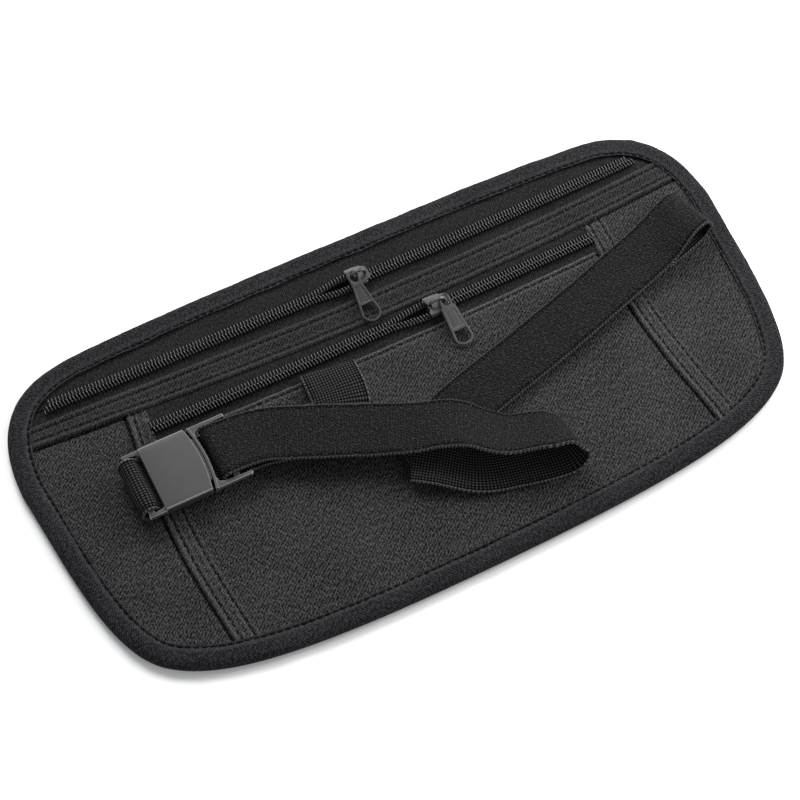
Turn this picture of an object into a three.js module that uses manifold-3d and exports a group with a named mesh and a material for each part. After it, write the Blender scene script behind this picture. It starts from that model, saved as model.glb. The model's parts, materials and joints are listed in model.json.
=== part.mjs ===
// Money belt: a flat two-zip travel pouch with an elastic waist strap and a quick-release clip.
// Millimetres, +Z up. The origin is the middle of the pouch on its resting (back) face,
// +X runs along the zips and +Y points to the top edge. The front of the pouch faces up.

import * as THREE from 'three';
import { mergeVertices } from 'three/addons/utils/BufferGeometryUtils.js';
import Module from 'manifold-3d';

const wasm = await Module();
wasm.setup();

// ---- driving dimensions ----
const HALF_LENGTH = 134.8;   // half the pouch's length, along X
const HALF_HEIGHT = 67.5;    // half the pouch's height, along Y
const GAP = 0.3;             // clearance between neighbouring pieces

const BINDING = { width: 8, leg: 0.8, top: 4.6 };
const BACK = { flange: [1.1, 1.6], floor: 0 };
const LINING = [1.9, 2.3];
const FRONT = [2.7, 3.5];    // height range of the front fabric

const UPPER_ZIP = { y: 49.3, half: 118, sliderX: 2 };
const LOWER_ZIP = { y: 26.8, half: 84.8, sliderX: 21.6 };
const COIL = { radius: 0.9, z: 4.7, offset: 1.5 };
const TAPE = { z: [2.9, 3.5], width: 4.4 };

const SLIDER = { length: 8.4, width: 7.6, bottom: [1.9, 2.6], top: [5.9, 6.7], post: 0.6 };
const BAIL = { leg: 1.2, span: 4.8, z: [9.1, 9.9] };
const PULL = { length: 18.6, thick: 1.0, tipDrop: 3.6, z: 8.15 };
const UPPER_EYE_X = -2.4;    // the upper pull's eye is round the bail's left leg
const LOWER_EYE_X = 2.4;     // and the lower pull's eye is round the right leg

const STRIP_Y = [35.2, 44.6];      // middle strip between the two zips
const SEAM = { left: -93.6, right: 85.2 };
const END_TAB = 7.4;               // width of the tab that covers each end of the lower zip

const STRAP = { width: 20, thick: 1.3 };
const CLIP = { y: 6.65, half: 12.2, z: [7.6, 12], ear: 1.7, earZ: [8.6, 11], barZ: [8.9, 10.7] };
const HOUSING = { x: [-95.35, -77.65], earEnd: -101.6, bar: [-101, -99] };
const TONGUE = { x: [-91, -76.5], half: 8.2, z: [9.1, 10.5] };
const FRAME = { cross: [-77, -75.4], earEnd: -64.4, bar: [-70.5, -68.5] };

// ---- materials ----
const finishes = {
  fabric: { color: 0x2b2c2e, roughness: 0.92, metalness: 0 },
  lining: { color: 0x202123, roughness: 0.95, metalness: 0 },
  binding: { color: 0x232427, roughness: 0.85, metalness: 0 },
  tape: { color: 0x1a1b1d, roughness: 0.8, metalness: 0 },
  coil: { color: 0x0d0e10, roughness: 0.3, metalness: 0 },
  slider: { color: 0x17181a, roughness: 0.35, metalness: 0.4 },
  elastic: { color: 0x1c1d20, roughness: 0.9, metalness: 0 },
  buckle: { color: 0x55575b, roughness: 0.42, metalness: 0.1 },
};

const belt = new THREE.Group();

function addPart(name, finish, geometry) {
  const mesh = new THREE.Mesh(geometry, new THREE.MeshStandardMaterial(finishes[finish]));
  mesh.name = name;
  belt.add(mesh);
  return mesh;
}

// ---- solid helpers ----
function toSolid(geometry) {
  const bare = geometry.index ? geometry.toNonIndexed() : geometry.clone();
  bare.deleteAttribute('normal');
  bare.deleteAttribute('uv');
  const merged = mergeVertices(bare, 1e-4);
  const vertProperties = new Float32Array(merged.attributes.position.array);
  const triVerts = new Uint32Array(merged.index.array);
  return new wasm.Manifold(new wasm.Mesh({ numProp: 3, vertProperties, triVerts }));
}

function toGeometry(solid) {
  const mesh = solid.getMesh();
  const geometry = new THREE.BufferGeometry();
  geometry.setAttribute('position', new THREE.BufferAttribute(mesh.vertProperties, 3));
  geometry.setIndex(new THREE.BufferAttribute(mesh.triVerts, 1));
  return geometry;
}

function join(...geometries) {
  return toGeometry(geometries.map(toSolid).reduce((sum, next) => sum.add(next)));
}

function cut(geometry, ...tools) {
  return toGeometry(tools.map(toSolid).reduce((rest, tool) => rest.subtract(tool), toSolid(geometry)));
}

function common(geometry, other) {
  return toGeometry(toSolid(geometry).intersect(toSolid(other)));
}

function box(x0, x1, y0, y1, z0, z1) {
  const geometry = new THREE.BoxGeometry(x1 - x0, y1 - y0, z1 - z0);
  return geometry.translate((x0 + x1) / 2, (y0 + y1) / 2, (z0 + z1) / 2);
}

function plate(shape, z0, z1, curveSegments = 6) {
  const geometry = new THREE.ExtrudeGeometry(shape, { depth: z1 - z0, bevelEnabled: false, curveSegments });
  return geometry.translate(0, 0, z0);
}

function rod(length, radius, sides = 8) {
  return new THREE.CylinderGeometry(radius, radius, length, sides).rotateZ(Math.PI / 2);
}

// ---- pouch outline ----
// A bow-shaped outline: a long flat top with tight corners and rounder bottom corners,
// moved inwards by inset on every side.
function pouchOutline(inset = 0) {
  const a = HALF_LENGTH - inset;
  const top = HALF_HEIGHT - inset;
  const bottom = -HALF_HEIGHT + inset;
  const shape = new THREE.Shape();
  shape.moveTo(0, bottom);
  shape.bezierCurveTo(a * 0.55, bottom, a * 0.76, bottom + 4.4, a * 0.87, bottom + 17);
  shape.bezierCurveTo(a * 0.97, bottom + 29, a * 0.975, bottom + 60, a, top - 44);
  shape.bezierCurveTo(a * 1.005, top - 14, a * 0.9, top - 3.5, a * 0.74, top - 1.9);
  shape.bezierCurveTo(a * 0.5, top + 0.1, a * 0.3, top, 0, top);
  shape.bezierCurveTo(-a * 0.3, top, -a * 0.5, top + 0.1, -a * 0.74, top - 1.9);
  shape.bezierCurveTo(-a * 0.9, top - 3.5, -a * 1.005, top - 14, -a, top - 44);
  shape.bezierCurveTo(-a * 0.975, bottom + 60, -a * 0.97, bottom + 29, -a * 0.87, bottom + 17);
  shape.bezierCurveTo(-a * 0.76, bottom + 4.4, -a * 0.55, bottom, 0, bottom);
  return shape;
}

function outlinePlate(inset, z0, z1) {
  return plate(pouchOutline(inset), z0, z1, 7);
}

// ---- pouch body ----
function edgeBinding() {
  const { width, leg, top } = BINDING;
  const core = outlinePlate(leg, leg, top - leg);
  const window = outlinePlate(width, -1, top + 1);
  return cut(outlinePlate(0, 0, top), core, window);
}

function backPanel() {
  const floor = outlinePlate(BINDING.width + GAP, BACK.floor, BACK.flange[1]);
  return join(floor, outlinePlate(BINDING.leg + GAP, ...BACK.flange));
}

// The lining is cut away under the upper zip's slider, whose lower wing runs in the main pocket.
function pocketLining() {
  const sheet = outlinePlate(BINDING.leg + GAP, LINING[0], LINING[1]);
  const zipRoom = (zip) => box(
    -zip.half - 6, zip.half + 6, zip.y - SLIDER.width / 2 - 1, zip.y + SLIDER.width / 2 + 1, 1.7, 3);
  return cut(sheet, zipRoom(UPPER_ZIP), zipRoom(LOWER_ZIP));
}

function frontPiece(x0, x1, y0, y1) {
  const sheet = outlinePlate(BINDING.leg + GAP, FRONT[0], FRONT[1]);
  return common(sheet, box(x0, x1, y0, y1, FRONT[0] - 1, FRONT[1] + 1));
}

// ---- zips ----
// The tapes stop short of the zip's middle, where the slider's post runs.
function zipTapes(prefix, zip, outerTop, outerBottom, halfTape) {
  const inner = 0.75;
  const [z0, z1] = TAPE.z;
  const sheet = outlinePlate(BINDING.leg + GAP, z0, z1);
  const upper = box(-halfTape, halfTape, zip.y + inner, outerTop, z0 - 1, z1 + 1);
  const lower = box(-halfTape, halfTape, outerBottom, zip.y - inner, z0 - 1, z1 + 1);
  addPart(`${prefix}_zip_tape_top`, 'tape', common(sheet, upper));
  addPart(`${prefix}_zip_tape_bottom`, 'tape', common(sheet, lower));
}

function zipCoils(prefix, zip) {
  const insideBinding = outlinePlate(BINDING.width + GAP, 0, 9);
  for (const [side, sign] of [['top', 1], ['bottom', -1]]) {
    const coil = rod(2 * zip.half, COIL.radius).translate(0, zip.y + sign * COIL.offset, COIL.z);
    addPart(`${prefix}_zip_coil_${side}`, 'coil', common(coil, insideBinding));
  }
}

// One slider: two wings joined by the post between the coils, side lips that hold the coils in,
// and a bail over the top wing that the pull hangs on.
function zipSlider() {
  const { length, width, bottom, top, post } = SLIDER;
  const wing = ([z0, z1]) => {
    const shape = new THREE.Shape();
    shape.moveTo(-length / 2, -width / 2);
    shape.lineTo(length / 4, -width / 2);
    shape.quadraticCurveTo(length / 2, -width / 2, length / 2, -width / 4);
    shape.lineTo(length / 2, width / 4);
    shape.quadraticCurveTo(length / 2, width / 2, length / 4, width / 2);
    shape.lineTo(-length / 2, width / 2);
    shape.quadraticCurveTo(-length * 0.4, 0, -length / 2, -width / 2);
    return plate(shape, z0, z1, 3);
  };
  const postBlock = box(-length / 2 + 1, -length / 2 + 2.6, -post / 2, post / 2, bottom[0], top[1]);
  const lip = (sign) => {
    const inner = COIL.offset + COIL.radius + GAP;
    const y = [sign * inner, sign * (width / 2)].sort((a, b) => a - b);
    return box(-length / 2, length / 2 - 2, y[0], y[1], TAPE.z[1] + 0.4, top[1]);
  };
  const { leg, span, z } = BAIL;
  const bailLeg = (x) => box(x - leg / 2, x + leg / 2, -leg / 2, leg / 2, top[1] - 0.2, z[1]);
  const bridge = box(-span / 2, span / 2, -leg / 2, leg / 2, z[0], z[1]);
  return join(wing(bottom), wing(top), postBlock, lip(1), lip(-1), bailLeg(-span / 2), bailLeg(span / 2), bridge);
}

// A pull tab hangs towards -Y from an eye round one leg of the bail and slopes down to the fabric.
// It is drawn flat with the leg at its origin, then tilted about X.
function pullTab(halfEye, halfTip, rounded) {
  const { length, thick, tipDrop } = PULL;
  const shape = new THREE.Shape();
  shape.moveTo(-halfEye, 0.6);
  shape.quadraticCurveTo(-halfEye, 1.9, 0, 1.9);
  shape.quadraticCurveTo(halfEye, 1.9, halfEye, 0.6);
  shape.lineTo(halfTip, -length + (rounded ? halfTip : 1));
  shape.quadraticCurveTo(halfTip, -length, rounded ? 0 : halfTip - 1, -length);
  if (!rounded) shape.lineTo(-halfTip + 1, -length);
  shape.quadraticCurveTo(-halfTip, -length, -halfTip, -length + (rounded ? halfTip : 1));
  const eye = new THREE.Path();
  eye.moveTo(1.1, -3.4);
  eye.lineTo(1.1, 1.0);
  eye.lineTo(-1.1, 1.0);
  eye.lineTo(-1.1, -3.4);
  const window = new THREE.Path();
  window.moveTo(halfTip - 1.2, -length + 6.6);
  window.lineTo(-halfTip + 1.2, -length + 6.6);
  window.lineTo(-halfTip + 1.2, -length + 2.4);
  window.quadraticCurveTo(0, -length + 0.2, halfTip - 1.2, -length + 2.4);
  shape.holes.push(eye, window);
  return plate(shape, -thick / 2, thick / 2, 4).rotateX(Math.asin(tipDrop / length));
}

function addSlider(prefix, zip, eyeX, tab) {
  const slider = addPart(`${prefix}_zip_slider`, 'slider', zipSlider());
  slider.position.set(zip.sliderX, zip.y, 0);
  const pull = addPart(`${prefix}_zip_pull`, 'slider', tab);
  pull.position.set(zip.sliderX + eyeX, zip.y, PULL.z);
}

// ---- straps ----
// A ribbon through stations. Each station is a centre point and the heading of the strap's width,
// in degrees from +Y towards -X. The thickness is square to both.
function ribbon(stations, thick = STRAP.thick, width = STRAP.width) {
  const centres = stations.map(({ at }) => new THREE.Vector3(...at));
  const corners = stations.flatMap(({ turn = 0 }, i) => {
    const heading = THREE.MathUtils.degToRad(turn);
    const half = new THREE.Vector3(-Math.sin(heading), Math.cos(heading), 0).multiplyScalar(width / 2);
    const before = centres[Math.max(i - 1, 0)];
    const after = centres[Math.min(i + 1, centres.length - 1)];
    const into = centres[i].clone().sub(before).normalize();
    const out = after.clone().sub(centres[i]).normalize();
    const normal = into.add(out).cross(half).normalize().multiplyScalar(thick / 2);
    return [[-1, -1], [1, -1], [1, 1], [-1, 1]].map(([across, up]) => centres[i].clone()
      .addScaledVector(half, across).addScaledVector(normal, up));
  });
  const faces = [[0, 2, 1], [0, 3, 2]];
  const last = 4 * (stations.length - 1);
  for (let i = 0; i < last; i += 4) {
    for (let k = 0; k < 4; k += 1) {
      const [a, b] = [i + k, i + ((k + 1) % 4)];
      faces.push([a, b, a + 4], [b, b + 4, a + 4]);
    }
  }
  faces.push([last, last + 1, last + 2], [last, last + 2, last + 3]);
  const positions = faces.flat().flatMap((corner) => corners[corner].toArray());
  const geometry = new THREE.BufferGeometry();
  geometry.setAttribute('position', new THREE.Float32BufferAttribute(positions, 3));
  return geometry;
}

// Stations of a turn round an axis along Y, from one angle to the other, in degrees.
function turnRound(x, y, z, radius, from, to, steps, turn = 0) {
  const stations = [];
  for (let i = 0; i <= steps; i += 1) {
    const angle = THREE.MathUtils.degToRad(from + ((to - from) * i) / steps);
    stations.push({ at: [x + radius * Math.cos(angle), y, z + radius * Math.sin(angle)], turn });
  }
  return stations;
}

// The long strap: from its sewn end it runs left, folds back on itself, loops over at the right,
// runs back over the top and is sewn round the bar of the clip's frame.
function longStrap() {
  const first = [
    { at: [121.4, 23.4, 4.6], turn: 12 },
    { at: [116, 20.2, 7.6], turn: 14 },
    { at: [108, 15.2, 9.2], turn: 16 },
    { at: [96, 10.6, 7.8], turn: 16 },
    { at: [76, 4.4, 6.9], turn: 17 },
    { at: [43, -4.4, 6.9], turn: 16 },
    { at: [17, -11, 6], turn: 14 },
    { at: [-6, -18, 5.1], turn: 10 },
  ];
  const foldBack = turnRound(-15, -21.5, 6.5, 1.5, 270, 90, 5);
  const second = [
    { at: [-6, -26.5, 8], turn: -20 },
    { at: [6, -34, 6.2], turn: -20 },
    { at: [20, -38.6, 5.4], turn: -12 },
    { at: [30, -40.6, 5.6], turn: -6 },
  ];
  const loopOver = turnRound(35, -40.6, 11, 5.4, -90, 90, 6);
  const third = [
    { at: [24, -35.6, 16.4], turn: -26 },
    { at: [10, -27.2, 15], turn: -30 },
    { at: [-5, -16.4, 13], turn: -28 },
    { at: [-24, -6.6, 11.4], turn: -24 },
    { at: [-42, 2.6, 10.8], turn: -16 },
    { at: [-58, CLIP.y, 10.8], turn: -3 },
    { at: [-64, CLIP.y, 11.4] },
  ];
  const barX = (FRAME.bar[0] + FRAME.bar[1]) / 2;
  const barZ = (CLIP.barZ[0] + CLIP.barZ[1]) / 2;
  const roundBar = turnRound(barX - 1.2, CLIP.y, barZ, 2.35, 90, 270, 6);
  const sewnEnd = [{ at: [-63, CLIP.y, 7.5] }];
  return ribbon([...first, ...foldBack, ...second, ...loopOver, ...third, ...roundBar, ...sewnEnd]);
}

// The short strap: from the left seam it goes round the bar of the housing, back under the clip,
// and its free end turns up beside the long strap.
function shortStrap() {
  const lower = 4.6;
  const barX = (HOUSING.bar[0] + HOUSING.bar[1]) / 2;
  const barZ = (CLIP.barZ[0] + CLIP.barZ[1]) / 2;
  return ribbon([
    { at: [SEAM.left - 2.4, CLIP.y, lower] },
    { at: [barX - 0.6, CLIP.y, lower + 0.3] },
    { at: [barX - 2.8, CLIP.y, lower + 2.4] },
    ...turnRound(barX - 0.2, CLIP.y, barZ, 2.4, 170, 20, 5),
    { at: [-97.1, CLIP.y, 8.6] },
    { at: [-96.4, CLIP.y, 7.3] },
    { at: [-94.4, CLIP.y, 6.5] },
    { at: [-86, CLIP.y, 6.2] },
    { at: [-76, CLIP.y - 0.6, 5.5], turn: -3 },
    { at: [-60, 3.4, 5.2], turn: -12 },
    { at: [-48, 1, 5.2], turn: 0 },
    { at: [-38, 2.6, 5.4], turn: 24 },
    { at: [-31, 8, 6], turn: 52 },
    { at: [-27.4, 14, 6.8], turn: 70 },
    { at: [-26, 20, 8], turn: 78 },
  ]);
}

// The strap's sewn ends: short stubs held by the left seam and by the binding at the right.
function sewnStubs() {
  const left = ribbon([{ at: [SEAM.left - 2, CLIP.y, 4.6] }, { at: [SEAM.left + 1.4, CLIP.y, 4.6] }]);
  const right = ribbon([
    { at: [121.8, 23.6, 4.6], turn: 12 },
    { at: [128, 25.4, 4.6], turn: 12 },
  ]);
  const insideBinding = outlinePlate(BINDING.width + GAP, 0, 9);
  addPart('strap_stub_left', 'elastic', left);
  addPart('strap_stub_right', 'elastic', common(right, insideBinding));
}

// ---- clip ----
function clipBars(ends, bar) {
  const { y, half, ear, earZ, barZ } = CLIP;
  const [x0, x1] = [...ends].sort((a, b) => a - b);
  const upperEar = box(x0, x1, y + half - ear, y + half, ...earZ);
  const lowerEar = box(x0, x1, y - half, y - half + ear, ...earZ);
  const crossBar = box(...bar, y - half + ear / 2, y + half - ear / 2, ...barZ);
  return [upperEar, lowerEar, crossBar];
}

function clipHousing() {
  const { y, half, z } = CLIP;
  const shell = box(...HOUSING.x, y - half, y + half, ...z);
  const pocket = box(
    TONGUE.x[0] - 1, HOUSING.x[1] + 1, y - TONGUE.half - 0.4, y + TONGUE.half + 0.4,
    TONGUE.z[0] - GAP, TONGUE.z[1] + GAP);
  const bars = clipBars([HOUSING.earEnd, HOUSING.x[0] + 0.5], HOUSING.bar);
  return cut(join(shell, ...bars), pocket);
}

function clipFrame() {
  const { y, half, z } = CLIP;
  const crossPiece = box(...FRAME.cross, y - half, y + half, z[0] + 0.4, z[1] - 0.4);
  const tongue = box(...TONGUE.x, y - TONGUE.half, y + TONGUE.half, ...TONGUE.z);
  const bars = clipBars([FRAME.earEnd, FRAME.cross[1] - 0.5], FRAME.bar);
  return join(crossPiece, tongue, ...bars);
}

// ---- assembly ----
addPart('back_panel', 'fabric', backPanel());
addPart('pocket_lining', 'lining', pocketLining());
addPart('edge_binding', 'binding', edgeBinding());

const zipLower = LOWER_ZIP.y - TAPE.width;
addPart('middle_strip', 'fabric', frontPiece(-200, 200, ...STRIP_Y));
addPart('front_panel_left', 'fabric', frontPiece(-200, SEAM.left - GAP, -200, STRIP_Y[0] - GAP));
addPart('front_panel_centre', 'fabric', frontPiece(SEAM.left, SEAM.right, -200, zipLower - GAP));
const tabRoom = box(SEAM.right, SEAM.right + GAP + END_TAB + GAP, zipLower - GAP, STRIP_Y[0], 0, 9);
addPart('front_panel_right', 'fabric',
  cut(frontPiece(SEAM.right + GAP, 200, -200, STRIP_Y[0] - GAP), tabRoom));
addPart('zip_end_tab_left', 'fabric',
  frontPiece(SEAM.left, SEAM.left + END_TAB, zipLower, STRIP_Y[0] - GAP));
addPart('zip_end_tab_right', 'fabric',
  frontPiece(SEAM.right + GAP, SEAM.right + END_TAB, zipLower, STRIP_Y[0] - GAP));

zipTapes('upper', UPPER_ZIP, 200, STRIP_Y[1] + GAP, 200);
zipTapes('lower', LOWER_ZIP, STRIP_Y[0] - GAP, zipLower, LOWER_ZIP.half);
zipCoils('upper', UPPER_ZIP);
zipCoils('lower', LOWER_ZIP);
addSlider('upper', UPPER_ZIP, UPPER_EYE_X, pullTab(2.1, 3.2, true));
addSlider('lower', LOWER_ZIP, LOWER_EYE_X, pullTab(2.3, 3.2, false));

sewnStubs();
addPart('strap_long', 'elastic', longStrap());
addPart('strap_short', 'elastic', shortStrap());
addPart('clip_housing', 'buckle', clipHousing());
addPart('clip_frame', 'buckle', clipFrame());

export default belt;
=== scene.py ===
"""Money belt: the looks. Lengths are in millimetres here and become metres when a mesh is made."""

import json
import math

import bmesh
import bpy
import numpy as np
from mathutils import Matrix, Vector


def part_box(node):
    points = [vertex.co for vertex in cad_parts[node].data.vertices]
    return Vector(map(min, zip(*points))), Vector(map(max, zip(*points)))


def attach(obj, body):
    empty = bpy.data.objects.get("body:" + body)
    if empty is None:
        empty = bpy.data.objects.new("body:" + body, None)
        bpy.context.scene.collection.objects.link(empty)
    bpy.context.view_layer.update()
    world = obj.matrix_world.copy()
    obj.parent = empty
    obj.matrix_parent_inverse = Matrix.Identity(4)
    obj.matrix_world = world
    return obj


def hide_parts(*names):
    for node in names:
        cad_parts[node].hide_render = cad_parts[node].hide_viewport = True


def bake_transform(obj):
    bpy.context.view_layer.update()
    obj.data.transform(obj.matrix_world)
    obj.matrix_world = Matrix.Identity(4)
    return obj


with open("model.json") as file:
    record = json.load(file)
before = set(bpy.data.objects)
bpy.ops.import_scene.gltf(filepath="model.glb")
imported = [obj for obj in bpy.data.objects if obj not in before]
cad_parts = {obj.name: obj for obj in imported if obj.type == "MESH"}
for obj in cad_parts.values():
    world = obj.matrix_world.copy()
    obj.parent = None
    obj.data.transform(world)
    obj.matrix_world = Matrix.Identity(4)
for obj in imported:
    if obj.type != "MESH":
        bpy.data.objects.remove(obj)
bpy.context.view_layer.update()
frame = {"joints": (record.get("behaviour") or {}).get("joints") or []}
MM = 0.001


def corners(node):
    """The low and high corners of a CAD node's box."""
    return [np.array(corner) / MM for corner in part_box(node)]


def middle(node):
    return sum(corners(node)) / 2


def joint_at(name):
    return Vector(next(j for j in frame["joints"] if j["name"] == name)["pos_m"])


# ---- driving dimensions, read from the CAD parts where they have them ----
HALF_LENGTH, HALF_HEIGHT, _ = corners("edge_binding")[1]
FRONT_Z = corners("front_panel_centre")[1][2]
CLOTH_INSET = 5.0      # from the pouch's edge to the cloth's edge under the binding
BINDING_ROW = 7.1      # from the pouch's edge to the binding's row of stitches
STRAP_WIDTH = 20.0
STRAP_THICK = 1.2
STRAP_STEP = 0.33      # between the rings of points along the elastic
CORD_RADIUS = 0.62     # of the elastic's corded edges
CORD_PITCH = 1.3       # between the cords' scallops
COIL_PITCH = 1.2
STITCH_PITCH = 2.7
FLAT_FACE = 0.93      # a face whose normal is this close to an axis is flat, not a rounded edge


# ---- small numeric helpers ----
def smooth(edge0, edge1, x):
    t = np.clip((np.asarray(x, float) - edge0) / (edge1 - edge0), 0, 1)
    return t * t * (3 - 2 * t)


def bell(x, centre, width):
    return np.exp(-(((np.asarray(x, float) - centre) / width) ** 2))


def unit(rows):
    return rows / np.linalg.norm(rows, axis=1)[:, None]


def run_along(points):
    """The distance along a path to each of its points."""
    return np.r_[0, np.cumsum(np.linalg.norm(np.diff(points, axis=0), axis=1))]


class Ripples:
    """A smooth random field: a sum of sine waves in fixed random directions, about -1 to 1."""

    def __init__(self, seed, wavelength):
        rng = np.random.default_rng(seed)
        angle = rng.uniform(0, 2 * np.pi, 9)
        k = 2 * np.pi / (wavelength * rng.uniform(0.55, 1.45, 9))
        self.kx, self.ky = k * np.cos(angle), k * np.sin(angle)
        self.phase = rng.uniform(0, 2 * np.pi, 9)

    def __call__(self, x, y):
        x, y = np.asarray(x, float)[..., None], np.asarray(y, float)[..., None]
        return np.sin(self.kx * x + self.ky * y + self.phase).sum(-1) / math.sqrt(len(self.kx)) * 0.8


def catmull(points, step):
    """A centripetal Catmull-Rom curve through rows of numbers, evenly spaced by their first three."""
    p = np.array(points, float)
    p = np.vstack([2 * p[0] - p[1], p, 2 * p[-1] - p[-2]])
    out = []
    for i in range(1, len(p) - 2):
        knots = [0.0]
        for a, b in ((p[i - 1], p[i]), (p[i], p[i + 1]), (p[i + 1], p[i + 2])):
            knots.append(knots[-1] + max(np.linalg.norm(b[:3] - a[:3]), 1e-6) ** 0.5)
        t = np.linspace(knots[1], knots[2], 24, endpoint=False)[:, None]

        def blend(first, last, a, b):
            return (knots[last] - t) / (knots[last] - knots[first]) * a + (t - knots[first]) / (
                knots[last] - knots[first]) * b

        a1, a2, a3 = (blend(k, k + 1, p[i - 1 + k], p[i + k]) for k in range(3))
        b1, b2 = blend(0, 2, a1, a2), blend(1, 3, a2, a3)
        out.append(blend(1, 2, b1, b2))
    dense = np.vstack(out + [p[-2:-1]])
    return resample(dense, step)


def resample(dense, step):
    run = run_along(dense[:, :3])
    at = np.linspace(0, run[-1], max(int(round(run[-1] / step)), 2) + 1)
    return np.column_stack([np.interp(at, run, dense[:, k]) for k in range(dense.shape[1])])


# ---- mesh building ----
def place(thing):
    bpy.context.scene.collection.objects.link(thing)
    return thing


def set_shade(piece, values):
    """Per vertex painted light: above 0 is a painted highlight on ridges and edges, partly wear, and below 0
    is painted shade in sewn creases and grooves.
    """
    layer = piece.data.attributes.new("shade", "FLOAT", "POINT")
    layer.data.foreach_set("value", np.asarray(values, np.float32).ravel())


def make_mesh(name, verts, faces, uv=None):
    """A mesh piece from points, faces as lists of corners, and one UV in millimetres for each point."""
    mesh = bpy.data.meshes.new(name)
    mesh.from_pydata((np.asarray(verts, float) * MM).tolist(), [], [tuple(f) for f in faces])
    if uv is not None:
        layer = mesh.uv_layers.new(name="UVMap")
        corner = np.zeros(len(mesh.loops), np.int32)
        mesh.loops.foreach_get("vertex_index", corner)
        layer.data.foreach_set("uv", np.asarray(uv, np.float32)[corner].ravel())
    mesh.validate()
    mesh.shade_smooth()
    return place(bpy.data.objects.new(name, mesh))


def grid_faces(rows, columns, close_rows=False, close_columns=False, start=0, flip=False):
    i = np.arange(rows if close_rows else rows - 1)[:, None]
    j = np.arange(columns if close_columns else columns - 1)[None, :]
    a = i * columns + j
    b = i * columns + (j + 1) % columns
    c = ((i + 1) % rows) * columns + (j + 1) % columns
    d = ((i + 1) % rows) * columns + j
    order = (a, d, c, b) if flip else (a, b, c, d)
    return np.stack([np.broadcast_to(q, a.shape) for q in order], -1).reshape(-1, 4) + start


def grid_uv(rows, columns):
    """One UV for each point of a grid, from the distances along its rows and its columns."""
    return np.stack(np.meshgrid(rows, columns, indexing="ij"), -1).reshape(-1, 2)


def sweep(name, rings, uv=None, closed=False):
    """A solid from rings of points: rings[i, j] is corner j of ring i. Ends are capped unless closed."""
    n, m = rings.shape[:2]
    faces = grid_faces(n, m, close_rows=closed, close_columns=True).tolist()
    if not closed:
        faces += [list(range(m))[::-1], list(range((n - 1) * m, n * m))]
    return make_mesh(name, rings.reshape(-1, 3), faces, uv)


def face_out(piece, weld=False):
    """Turn every face of a closed piece outwards, after joining its doubled points if weld is set."""
    bm = bmesh.new()
    bm.from_mesh(piece.data)
    if weld:
        bmesh.ops.remove_doubles(bm, verts=bm.verts, dist=1e-7)
    bmesh.ops.recalc_face_normals(bm, faces=bm.faces)
    bm.to_mesh(piece.data)
    bm.free()
    return piece


def join_pieces(name, pieces):
    bm = bmesh.new()
    for piece in pieces:
        copy = piece.data.copy()
        copy.transform(piece.matrix_world)
        bm.from_mesh(copy)
        bpy.data.meshes.remove(copy)
        bpy.data.objects.remove(piece)
    mesh = bpy.data.meshes.new(name)
    bm.to_mesh(mesh)
    bm.free()
    return place(bpy.data.objects.new(name, mesh))


def slab(name, loops, z0, z1, bevel):
    """A flat plate with holes and rounded edges, from outlines in the XY plane."""
    curve = bpy.data.curves.new(name, "CURVE")
    curve.dimensions = "2D"
    curve.fill_mode = "BOTH"
    curve.extrude = (z1 - z0) / 2 - bevel
    curve.bevel_depth = bevel
    curve.bevel_resolution = 3
    curve.offset = -bevel
    for loop in loops:
        spline = curve.splines.new("POLY")
        spline.points.add(len(loop) - 1)
        for point, (x, y) in zip(spline.points, loop):
            point.co = (x, y, 0, 1)
        spline.use_cyclic_u = True
    holder = place(bpy.data.objects.new(name + "_curve", curve))
    bpy.context.view_layer.update()
    mesh = bpy.data.meshes.new_from_object(holder.evaluated_get(bpy.context.evaluated_depsgraph_get()))
    bpy.data.objects.remove(holder)
    mesh.name = name
    mesh.transform(Matrix.Scale(MM, 4) @ Matrix.Translation((0, 0, (z0 + z1) / 2)))
    mesh.materials.clear()
    return face_out(place(bpy.data.objects.new(name, mesh)), weld=True)


def oval(cx, cy, rx, ry, degrees):
    return [(cx + rx * math.cos(k), cy + ry * math.sin(k)) for k in np.radians(degrees)]


def arc(cx, cy, r, a0, a1, n):
    return oval(cx, cy, r, r, np.linspace(a0, a1, n + 1))


def rounded_loop(x0, x1, y0, y1, r, n):
    return (arc(x1 - r, y0 + r, r, -90, 0, n) + arc(x1 - r, y1 - r, r, 0, 90, n)
            + arc(x0 + r, y1 - r, r, 90, 180, n) + arc(x0 + r, y0 + r, r, 180, 270, n))


def finer(loop):
    """The loop with extra points along its long edges, so that it can be bent."""
    dense = []
    for (x0, y0), (x1, y1) in zip(loop, loop[1:] + loop[:1]):
        count = max(1, round(math.hypot(x1 - x0, y1 - y0) / 1.5))
        dense += [(x0 + (x1 - x0) * k / count, y0 + (y1 - y0) * k / count) for k in range(count)]
    return dense


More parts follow.
